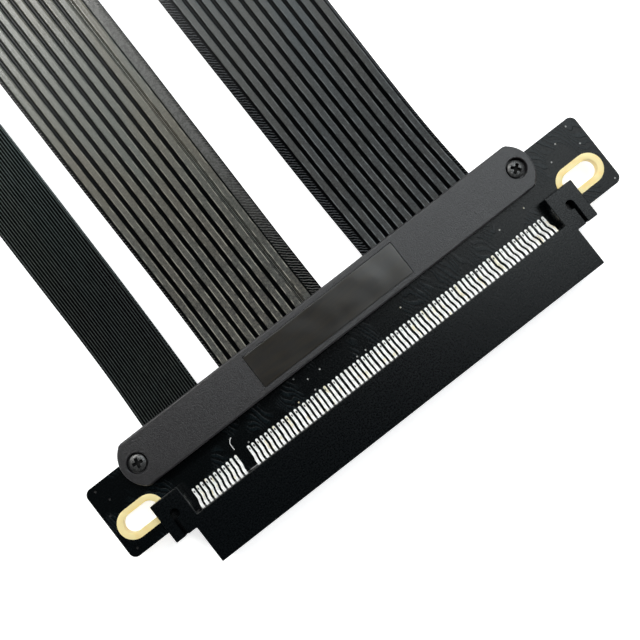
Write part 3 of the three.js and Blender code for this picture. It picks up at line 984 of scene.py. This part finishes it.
class RISER_OT_housing(bpy.types.Operator):
    """Mould the slot housing with its card slot, key rib, ears and contact channels"""
    bl_idname = "riser.housing"
    bl_label = "Mould Housing"

    def execute(self, context):
        settings = context.scene.riser_slot
        rear = BOARD_FRONT - HOUSING_GAP
        shell = block("slot_shell", (-HOUSING_END, HOUSING_LOW.y, HOUSING_LOW.z),
                      (HOUSING_END, rear, HOUSING_HIGH.z))
        carve(shell, ear(-1), ear(1), operation="UNION")
        soften(shell, settings.edge)
        board_half = BOARD_FACE + SEAT_CLEARANCE
        carve(shell, block("board_seat", (-SEAT_END, rear, BOARD_MID - board_half),
                           (SEAT_END, BOARD_FRONT + EAR_REAR + PAST, BOARD_MID + board_half)))
        for start, end in ((-SLOT_END, KEY_X - KEY_RIB / 2), (KEY_X + KEY_RIB / 2, SLOT_END)):
            carve(shell, slot_cutter(start, end, settings.slot_depth))
        carve(shell, *ear_cutters(-1), *ear_cutters(1))
        carve(shell, channel_cutter(settings.slot_depth))
        plastic = mould_plastic("black_housing_plastic", settings.plastic, 0.28, 3.0, 0.3, 0.02,
                                0.2)
        keep(shell, "slot_shell", plastic, "housing", "slot_housing")
        return {"FINISHED"}


# Contacts

TAIL_THICKNESS = 0.22 * MM
TAIL_RISE = 2.0 * MM  # where a tail leaves the housing, above the board's face
TAIL_ROOT = -0.7 * MM
TAIL_SHELF = 0.7 * MM
TAIL_FOOT = 1.75 * MM
TAIL_TIP = 3.2 * MM
TAIL_GAP = 0.08 * MM  # of solder under the tail's foot
TAIL_BEND = 0.22 * MM
TAIL_CORNER = 0.18 * MM
TIP_SHADOW_PLACE = 3.12  # the painted shadow flecks at the tails' tips, in millimetres past the board's front edge
PAD_REACH = 3.8 * MM
PAD_LENGTH = 2.4 * MM
PAD_HEIGHT = 0.06 * MM
PAD_SIDES = 14
SOLDER_PLACE = 2.9 * MM
SOLDER_LENGTH = 0.86 * MM
SOLDER_HEIGHT = 0.30 * MM
SPRING_WIDTH = 0.5 * MM
SPRING_THICKNESS = 0.14 * MM
SPRING_GAP = 0.16 * MM  # from the slot's wall
SPRING_START = 1.3 * MM  # behind the mouth
SPRING_REAR = 0.5 * MM  # in front of the slot's floor
SPRING_CREST = 3.2 * MM  # behind the mouth
SPRING_BENDS = [  # past the crest, and how far the spring bows there
    (-0.9 * MM, 0.25 * MM), (0.0, 0.5 * MM), (1.4 * MM, 0.25 * MM),
]
JITTER_SEED = 7
JITTER = (0.018, 0.05)  # sideways and lengthwise, in millimetres
JITTER_PLACES = 96
JITTER_START = 46  # millimetres left of the middle


def contact_tail(width):
    """One bent tail at X = 0, its solder pad and the solder over its tip."""
    face = BOARD_MID + BOARD_FACE
    foot = face + TAIL_GAP
    tail = block("tail", (-width / 2, BOARD_FRONT + TAIL_ROOT, foot),
                 (width / 2, BOARD_FRONT + TAIL_TIP, foot + TAIL_THICKNESS))
    bends = [BOARD_FRONT + TAIL_SHELF, BOARD_FRONT + TAIL_FOOT]
    with Edit(tail) as edit:
        for bend in bends:
            edit.divide(bend)
        edit.points(lambda point: point.y < bends[0] + NEAR)
        edit.move(0, 0, TAIL_RISE - TAIL_THICKNESS - TAIL_GAP)
        edit.resize((1.1, 1, 1), (0, 0, 0))
        edit.edges(lambda a, b: abs(a.y - b.y) < TOUCH and abs(a.z - b.z) < TOUCH
                   and min(abs(a.y - bend) for bend in bends) < TOUCH)
        edit.bevel(TAIL_BEND)
        edit.edges(lambda a, b: min(a.y, b.y) > BOARD_FRONT + TAIL_TIP - TOUCH
                   and abs(a.x - b.x) < TOUCH)
        edit.bevel(TAIL_CORNER)
    pad = oblong("pad", (0, 0), PAD_LENGTH, width * 1.06, face - SUNK, face + PAD_HEIGHT,
                 PAD_SIDES)
    with Edit(pad) as edit:
        edit.everything()
        edit.turn(math.pi / 2, (0, 0, 0))
        edit.move(0, BOARD_FRONT + PAD_REACH - PAD_LENGTH / 2, 0)
    bpy.ops.mesh.primitive_uv_sphere_add(
        segments=10, ring_count=6, radius=1, location=(0, BOARD_FRONT + SOLDER_PLACE, face),
        scale=(width * 0.52, SOLDER_LENGTH, SOLDER_HEIGHT))
    mound = added("mound")
    with Edit(mound) as edit:
        edit.everything()
        bpy.ops.mesh.bisect(plane_co=(0, 0, face), plane_no=(0, 0, 1), clear_inner=True,
                            use_fill=True)
    return fuse("tail", tail, pad, mound)


def spring(settings):
    """One contact's spring at X = 0, bowed out of the slot's upper wall."""
    front = HOUSING_LOW.y
    foot = BOARD_MID + SLOT_HALF + SPRING_GAP
    made = block("spring", (-SPRING_WIDTH / 2, front + SPRING_START, foot),
                 (SPRING_WIDTH / 2, front + settings.slot_depth - SPRING_REAR,
                  foot + SPRING_THICKNESS))
    bends = [(front + SPRING_CREST + past_crest, bow) for past_crest, bow in SPRING_BENDS]
    with Edit(made) as edit:
        for bend, bow in bends:
            edit.divide(bend)
        for bend, bow in bends:
            edit.points(lambda point: abs(point.y - bend) < NEAR)
            edit.move(0, 0, -bow)
    return made


def vary_contacts(obj):
    """Let each contact stand a hair out of line, as soldered ones do."""
    chance = random.Random(JITTER_SEED)
    places = [[chance.gauss(0, spread) for spread in JITTER] for _ in range(JITTER_PLACES)]
    for vertex in obj.data.vertices:
        sideways, reach = places[int(vertex.co.x / MM + JITTER_START)]
        vertex.co.x += sideways * MM
        if vertex.co.y > BOARD_FRONT + TAIL_FOOT:
            vertex.co.y += reach * MM


class RISER_OT_contacts(bpy.types.Operator):
    """Solder the row of contact tails to both faces of the board and fit their springs"""
    bl_idname = "riser.contacts"
    bl_label = "Fit Contacts"

    def execute(self, context):
        settings = context.scene.riser_slot
        tails = both_faces(contact_row("contact_tails", contact_tail(settings.tail_width)),
                           BOARD_MID)
        vary_contacts(tails)
        keep(tails, "contact_tails", bright_tin(settings.tin), "housing", "slot_housing")
        springs = both_faces(contact_row("contact_springs", spring(settings)), BOARD_MID)
        keep(springs, "contact_springs", gold_plate("spring_gold", settings.gold, 0.8),
             "gold_plating", "slot_housing")
        return {"FINISHED"}


# Boards

VIA_RADIUS = 0.17 * MM
VIA_SUNK = 0.02 * MM
VIA_HEIGHT = 0.03 * MM
LIGHT_VIAS = [  # from the middle of the row, and from the board's front edge
    (39.9, 7.1), (33.7, 6.65), (55.9, 10.2), (55.75, 14.4), (49.4, 10.7), (52.1, 13.0),
    (57.0, 1.0), (10.0, 6.6), (-9.1, 6.8), (-12.0, 6.7), (-14.15, 8.3), (-12.1, 4.3),
    (-16.0, 4.3), (-0.1, 4.35), (-2.1, 4.35), (-27.9, 4.2),
]
DARK_VIAS = [(-56.1, 14.45), (-54.8, 11.7), (-56.6, 9.2), (-56.2, 1.4)]
KEY_MARK = [(-30.0, 6.9), (-30.55, 6.55), (-30.85, 6.0), (-30.9, 5.3), (-30.85, 4.7)]
KEY_MARK_WIDTH = 0.16 * MM
FINGER_WIDTH = 0.7 * MM
FINGER_LENGTH = 4.3 * MM
FINGER_HEIGHT = 0.035 * MM
FINGER_CORNER = 0.12 * MM
TONGUE_BEVEL = 1.3 * MM


def vias(name, places, radius, finish):
    """Plated holes: low rings round dimples."""
    face = BOARD_MID + BOARD_FACE
    rings = [rod("via", (x * MM, BOARD_FRONT + y * MM), radius, face - VIA_SUNK,
                 face + VIA_HEIGHT, 16) for x, y in places]
    for ring in rings:
        with Edit(ring) as edit:
            edit.faces(lambda centre, normal: normal.z > FACING)
            bpy.ops.mesh.inset(thickness=radius * 0.55, depth=-VIA_SUNK)
    keep(fuse(name, *rings), name, finish, "board")


def printed_line(points, width):
    """A printed line on the board's upper face."""
    curve = bpy.data.curves.new("printed_line", "CURVE")
    curve.dimensions = "3D"
    spline = curve.splines.new("BEZIER")
    spline.bezier_points.add(len(points) - 1)
    for knot, (x, y) in zip(spline.bezier_points, points):
        knot.co = (x * MM, BOARD_FRONT + y * MM, BOARD_MID + BOARD_FACE)
        knot.handle_left_type = knot.handle_right_type = "AUTO"
    curve.bevel_depth = width / 2
    curve.bevel_resolution = 2
    only(linked("printed_line", curve))
    bpy.ops.object.convert(target="MESH")
    made = bpy.context.object
    with Edit(made) as edit:
        edit.everything()
        edit.resize((1, 1, 0.25), (0, 0, BOARD_MID + BOARD_FACE))
    return made


def card_finger():
    """One gold finger at X = 0 on the tongue's upper face."""
    face = BOARD_FACE + PLUG_MID
    end = PLUG_TIP - TONGUE_BEVEL
    made = block("finger", (-FINGER_WIDTH / 2, end - FINGER_LENGTH, face - SUNK),
                 (FINGER_WIDTH / 2, end, face + FINGER_HEIGHT))
    with Edit(made) as edit:
        edit.edges(lambda a, b: abs(a.z - b.z) > TOUCH)
        edit.bevel(FINGER_CORNER)
    return made


class RISER_OT_boards(bpy.types.Operator):
    """Finish both boards: solder mask, plated holes, the key's mark and the gold fingers"""
    bl_idname = "riser.boards"
    bl_label = "Finish Boards"

    def execute(self, context):
        settings = context.scene.riser_slot
        mask = solder_mask(settings.mask)
        for node in ("slot_board", "plug_board"):
            coat(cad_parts[node], mask)
        vias("test_vias", LIGHT_VIAS, VIA_RADIUS, bright_tin(tinted(settings.tin, 0.32)))
        copper = mould_plastic("masked_copper", (0.002, 0.002, 0.002), 0.4, 2.0, 0.3, 0.02)
        vias("masked_vias", DARK_VIAS, VIA_RADIUS * 1.3, copper)
        ink = mould_plastic("white_ink", (0.75, 0.75, 0.74), 0.6, 2.0, 0.1, 0.01)
        keep(printed_line(KEY_MARK, KEY_MARK_WIDTH), "key_mark", ink, "board")
        fingers = both_faces(contact_row("card_fingers", card_finger()), PLUG_MID)
        keep(fingers, "card_fingers", gold_plate("finger_gold", settings.gold, 0.75),
             "gold_plating")
        return {"FINISHED"}


# Slotted holes

FLANGE = 1.25 * MM
LINING = 0.08 * MM
LINING_EDGE = 0.025 * MM
HOLE_WIDTH = 3.6 * MM
HOLE_SIDES = 56


def hole_lining(node):
    """A plated eyelet turned round, then drawn out along X into a slotted one."""
    low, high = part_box(node)
    centre = (low + high) / 2
    inner = HOLE_WIDTH / 2
    outer = inner + FLANGE
    wall = inner + LINING
    height = high.z - low.z
    bpy.ops.mesh.primitive_circle_add(
        vertices=HOLE_SIDES, radius=inner, location=(centre.x, centre.y, high.z),
        rotation=(0, 0, math.pi / HOLE_SIDES))
    made = added("hole_lining")
    turns = [  # how far each ring moves down, and its radius
        (0.0, outer), (LINING, outer), (0.0, wall), (height - 2 * LINING, wall),
        (0.0, outer), (LINING, outer), (0.0, inner), (-height, inner),
    ]
    with Edit(made) as edit:
        edit.everything()
        radius = inner
        for down, wanted in turns:
            bpy.ops.mesh.extrude_edges_move(TRANSFORM_OT_translate={"value": (0, 0, -down)})
            share = wanted / radius
            edit.resize((share, share, 1), (centre.x, centre.y, 0))
            radius = wanted
        edit.everything()
        bpy.ops.mesh.remove_doubles(threshold=TOUCH / 2)
        bpy.ops.mesh.normals_make_consistent(inside=False)
    stretch(made, centre.x, (high.x - low.x) / 2 - outer)
    return soften(made, LINING_EDGE, angle=60)


class RISER_OT_linings(bpy.types.Operator):
    """Plate the slotted holes at the slot board's ends"""
    bl_idname = "riser.linings"
    bl_label = "Plate Slotted Holes"

    def execute(self, context):
        gold = gold_plate("hole_gold", context.scene.riser_slot.gold, 0.05)
        for side in ("left", "right"):
            node = "slot_plating_" + side
            keep(hole_lining(node), "hole_lining_" + side, gold, "gold_plating", node)
        return {"FINISHED"}


# Clamp covers

COVER_BOW = 5.6 * MM
COVER_CORNER = 0.42 * MM  # how far the corners' rounding reaches along their sides
WINDOW_INSET = 1.5 * MM
WINDOW_ROOF = 0.95 * MM
WINDOW_CLEARANCE = 0.4 * MM
WELL_CHAMFER = 0.12 * MM
BOARD_CLEARANCE = 0.1 * MM
FIT_GAP = 0.15 * MM
RECESS_CLEARANCE = 0.35 * MM
LABEL_RECESS = 0.4 * MM
SHANK_HOLE = 1.1 * MM
COVERS = {  # node: its board, and whether its cables leave towards +Y and its face looks up
    "slot_cover_top": ("slot_board", 1, 1),
    "slot_cover_bottom": ("slot_board", 1, -1),
    "plug_cover_top": ("plug_board", -1, 1),
    "plug_cover_bottom": ("plug_board", -1, -1),
}
WIDE_CABLES = ("cable_middle_upper", "cable_right_upper")


def well_cutter(centre, radius, floor, face):
    """A screw's counterbore with a small chamfer at its mouth."""
    made = rod("well", (centre.x, centre.y), radius, floor, face - WELL_CHAMFER)
    share = (radius + WELL_CHAMFER + PAST) / radius
    with Edit(made) as edit:
        edit.faces(lambda place, normal: normal.z > FACING)
        edit.pull(0, 0, WELL_CHAMFER + PAST)
        edit.resize((share, share, 1), (centre.x, centre.y, 0))
    return made


def clamp_cover(node, settings):
    """One clamp cover: a bar with round ends, seated on its board, with the cables' windows."""
    board_node, side, up = COVERS[node]
    low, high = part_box(node)
    centre = (low + high) / 2
    board_low, board_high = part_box(board_node)
    mid = (board_low.z + board_high.z) / 2
    face, foot = (high.z, low.z) if up > 0 else (low.z, high.z)
    rear, front = (high.y, low.y) if side > 0 else (low.y, high.y)
    cover = bowed_bar(node, centre, high.x - low.x, high.y - low.y, low.z, high.z,
                      COVER_BOW, COVER_CORNER)
    with Edit(cover) as edit:
        edit.edges(lambda a, b: abs(a.z - face) < TOUCH and abs(b.z - face) < TOUCH)
        edit.bevel(settings.edge, 4)

    open_end = foot - up * PAST
    board_edge = (board_high.y if side > 0 else board_low.y) + side * FIT_GAP
    board_face = mid + up * (board_high.z - mid + BOARD_CLEARANCE)
    cutters = [block("seat", (low.x - PAST, centre.y - side * (high.y - low.y), open_end),
                     (high.x + PAST, board_edge, board_face))]
    for cable in WIDE_CABLES + (("cable_narrow",) if up > 0 else ()):
        cable_low, cable_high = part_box(cable)
        cutters.append(block(
            "window", (cable_low.x - WINDOW_CLEARANCE, front + side * WINDOW_INSET, open_end),
            (cable_high.x + WINDOW_CLEARANCE, rear + side * PAST, face - up * WINDOW_ROOF)))
    for end in ("left", "right"):
        screw_low, screw_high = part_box(f"{node.rsplit('_', 1)[0]}_screw_{end}")
        screw = (screw_low + screw_high) / 2
        if up > 0:
            seat = screw_high.z - SCREW_HEAD
            radius = (screw_high.x - screw_low.x) / 2 + RECESS_CLEARANCE
            cutters.append(well_cutter(screw, radius, seat, face))
            cutters.append(rod("shank_hole", screw, SHANK_HOLE, low.z - PAST, seat + PAST, 32))
        else:
            cutters.append(rod("blind_hole", screw, SHANK_HOLE, screw_low.z - FIT_GAP,
                               high.z + PAST, 32))
    if node == "slot_cover_top":
        label_low, label_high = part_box("label_plate")
        cutters.append(block(
            "label_recess", (label_low.x - FIT_GAP, label_low.y - FIT_GAP, face - LABEL_RECESS),
            (label_high.x + FIT_GAP, label_high.y + FIT_GAP, face + PAST)))
    return carve(cover, *cutters)


class RISER_OT_covers(bpy.types.Operator):
    """Mould the four clamp covers that hold the cables' ends"""
    bl_idname = "riser.covers"
    bl_label = "Mould Covers"

    def execute(self, context):
        settings = context.scene.riser_cover
        plastic = mould_plastic("spark_textured_plastic", settings.plastic, 0.34, 4.0, 0.55,
                                0.06, 0.6)
        for node in COVERS:
            keep(clamp_cover(node, settings), "clamp_" + node, plastic, "cover", node)
        return {"FINISHED"}


# Screws and label

SCREW_HEAD = 1.15 * MM
SCREW_DOME = 0.3 * MM
SCREW_RINGS = ((0.13 * MM, 0.95), (0.10 * MM, 0.86), (0.07 * MM, 0.62))  # of the dome
SCREW_SHANK = 0.95 * MM
SCREW_TIP = 0.5 * MM
CROSS_WIDTH = 0.78 * MM
CROSS_SPAN = 2.45 * MM
CROSS_DEPTH = 0.85 * MM
CROSS_TAPER = 0.72
CROSS_TURNS = {"slot_cover_screw_left": 12, "slot_cover_screw_right": -38,
               "plug_cover_screw_left": 31, "plug_cover_screw_right": 64}  # degrees
LABEL_CORNER = 0.3 * MM
LABEL_EDGE = 0.06 * MM


def cover_screw(node):
    """A pan-head screw turned from a rod, with a tapered cross recess."""
    low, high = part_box(node)
    centre = (low + high) / 2
    radius = (high.x - low.x) / 2
    seat = high.z - SCREW_HEAD
    screw = rod("screw", centre, radius, seat, high.z - SCREW_DOME)
    about = (centre.x, centre.y, 0)
    with Edit(screw) as edit:
        edit.faces(lambda place, normal: normal.z > FACING)
        for rise, share in SCREW_RINGS:
            edit.pull(0, 0, rise)
            edit.resize((share, share, 1), about)
        edit.faces(lambda place, normal: normal.z < -FACING)
        bpy.ops.mesh.inset(thickness=radius - SCREW_SHANK)
        edit.pull(0, 0, low.z + SCREW_TIP - seat)
        edit.pull(0, 0, -SCREW_TIP)
        edit.resize((0.5, 0.5, 1), about)
    floor = high.z - CROSS_DEPTH
    for wide, deep in ((CROSS_SPAN, CROSS_WIDTH), (CROSS_WIDTH, CROSS_SPAN)):
        arm = block("cross_arm", (centre.x - wide / 2, centre.y - deep / 2, floor),
                    (centre.x + wide / 2, centre.y + deep / 2, high.z + PAST))
        with Edit(arm) as edit:
            edit.points(lambda point: point.z < floor + NEAR)
            edit.resize((CROSS_TAPER, CROSS_TAPER, 1), about)
            edit.everything()
            edit.turn(math.radians(CROSS_TURNS[node]), about)
        carve(screw, arm)
    return screw


class RISER_OT_screws(bpy.types.Operator):
    """Turn the cross-head screws that draw the covers together"""
    bl_idname = "riser.screws"
    bl_label = "Drive Screws"

    def execute(self, context):
        for end in ("slot", "plug"):
            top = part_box(f"{end}_cover_screw_left")[1].z
            steel = black_steel(f"black_oxide_{end}", context.scene.riser_cover.screw, top)
            for side in ("left", "right"):
                node = f"{end}_cover_screw_{side}"
                keep(cover_screw(node), f"cross_screw_{end}_{side}", steel, "screw", node)
        return {"FINISHED"}


class RISER_OT_label(bpy.types.Operator):
    """Lay the blank glossy label in its recess"""
    bl_idname = "riser.label"
    bl_label = "Lay Label"

    def execute(self, context):
        low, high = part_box("label_plate")
        plate = block("label", low, high)
        with Edit(plate) as edit:
            edit.edges(lambda a, b: abs(a.z - b.z) > NEAR)
            edit.bevel(LABEL_CORNER, 4)
            edit.edges(lambda a, b: min(a.z, b.z) > high.z - TOUCH)
            edit.bevel(LABEL_EDGE)
        keep(plate, "blank_label", label_film(context.scene.riser_cover.label), "label",
             "label_plate")
        return {"FINISHED"}


# Sidebar panel and registration

STEPS = (RISER_OT_stage, RISER_OT_housing, RISER_OT_contacts, RISER_OT_boards,
         RISER_OT_linings, RISER_OT_covers, RISER_OT_screws, RISER_OT_label, RISER_OT_cables)
GROUPS = {"riser_stage": RiserStageSettings, "riser_cable": RiserCableSettings,
          "riser_slot": RiserSlotSettings, "riser_cover": RiserCoverSettings}


class RISER_PT_panel(bpy.types.Panel):
    """Sizes, colours and steps of the riser cable"""
    bl_idname = "RISER_PT_panel"
    bl_label = "Riser Cable"
    bl_space_type = "VIEW_3D"
    bl_region_type = "UI"
    bl_category = "Riser"

    def draw(self, context):
        for step in STEPS:
            self.layout.operator(step.bl_idname)
        for name, group in GROUPS.items():
            box = self.layout.box()
            for prop in group.__annotations__:
                box.prop(getattr(context.scene, name), prop)


def register():
    for group in (*GROUPS.values(), *STEPS, RISER_PT_panel):
        bpy.utils.register_class(group)
    for name, group in GROUPS.items():
        setattr(bpy.types.Scene, name, PointerProperty(type=group))


def unregister():
    for name in GROUPS:
        delattr(bpy.types.Scene, name)
    for group in reversed((*GROUPS.values(), *STEPS, RISER_PT_panel)):
        bpy.utils.unregister_class(group)


def main():
    register()
    for step in STEPS:
        family, action = step.bl_idname.split(".")
        getattr(getattr(bpy.ops, family), action)()


if __name__ == "__main__":
    main()
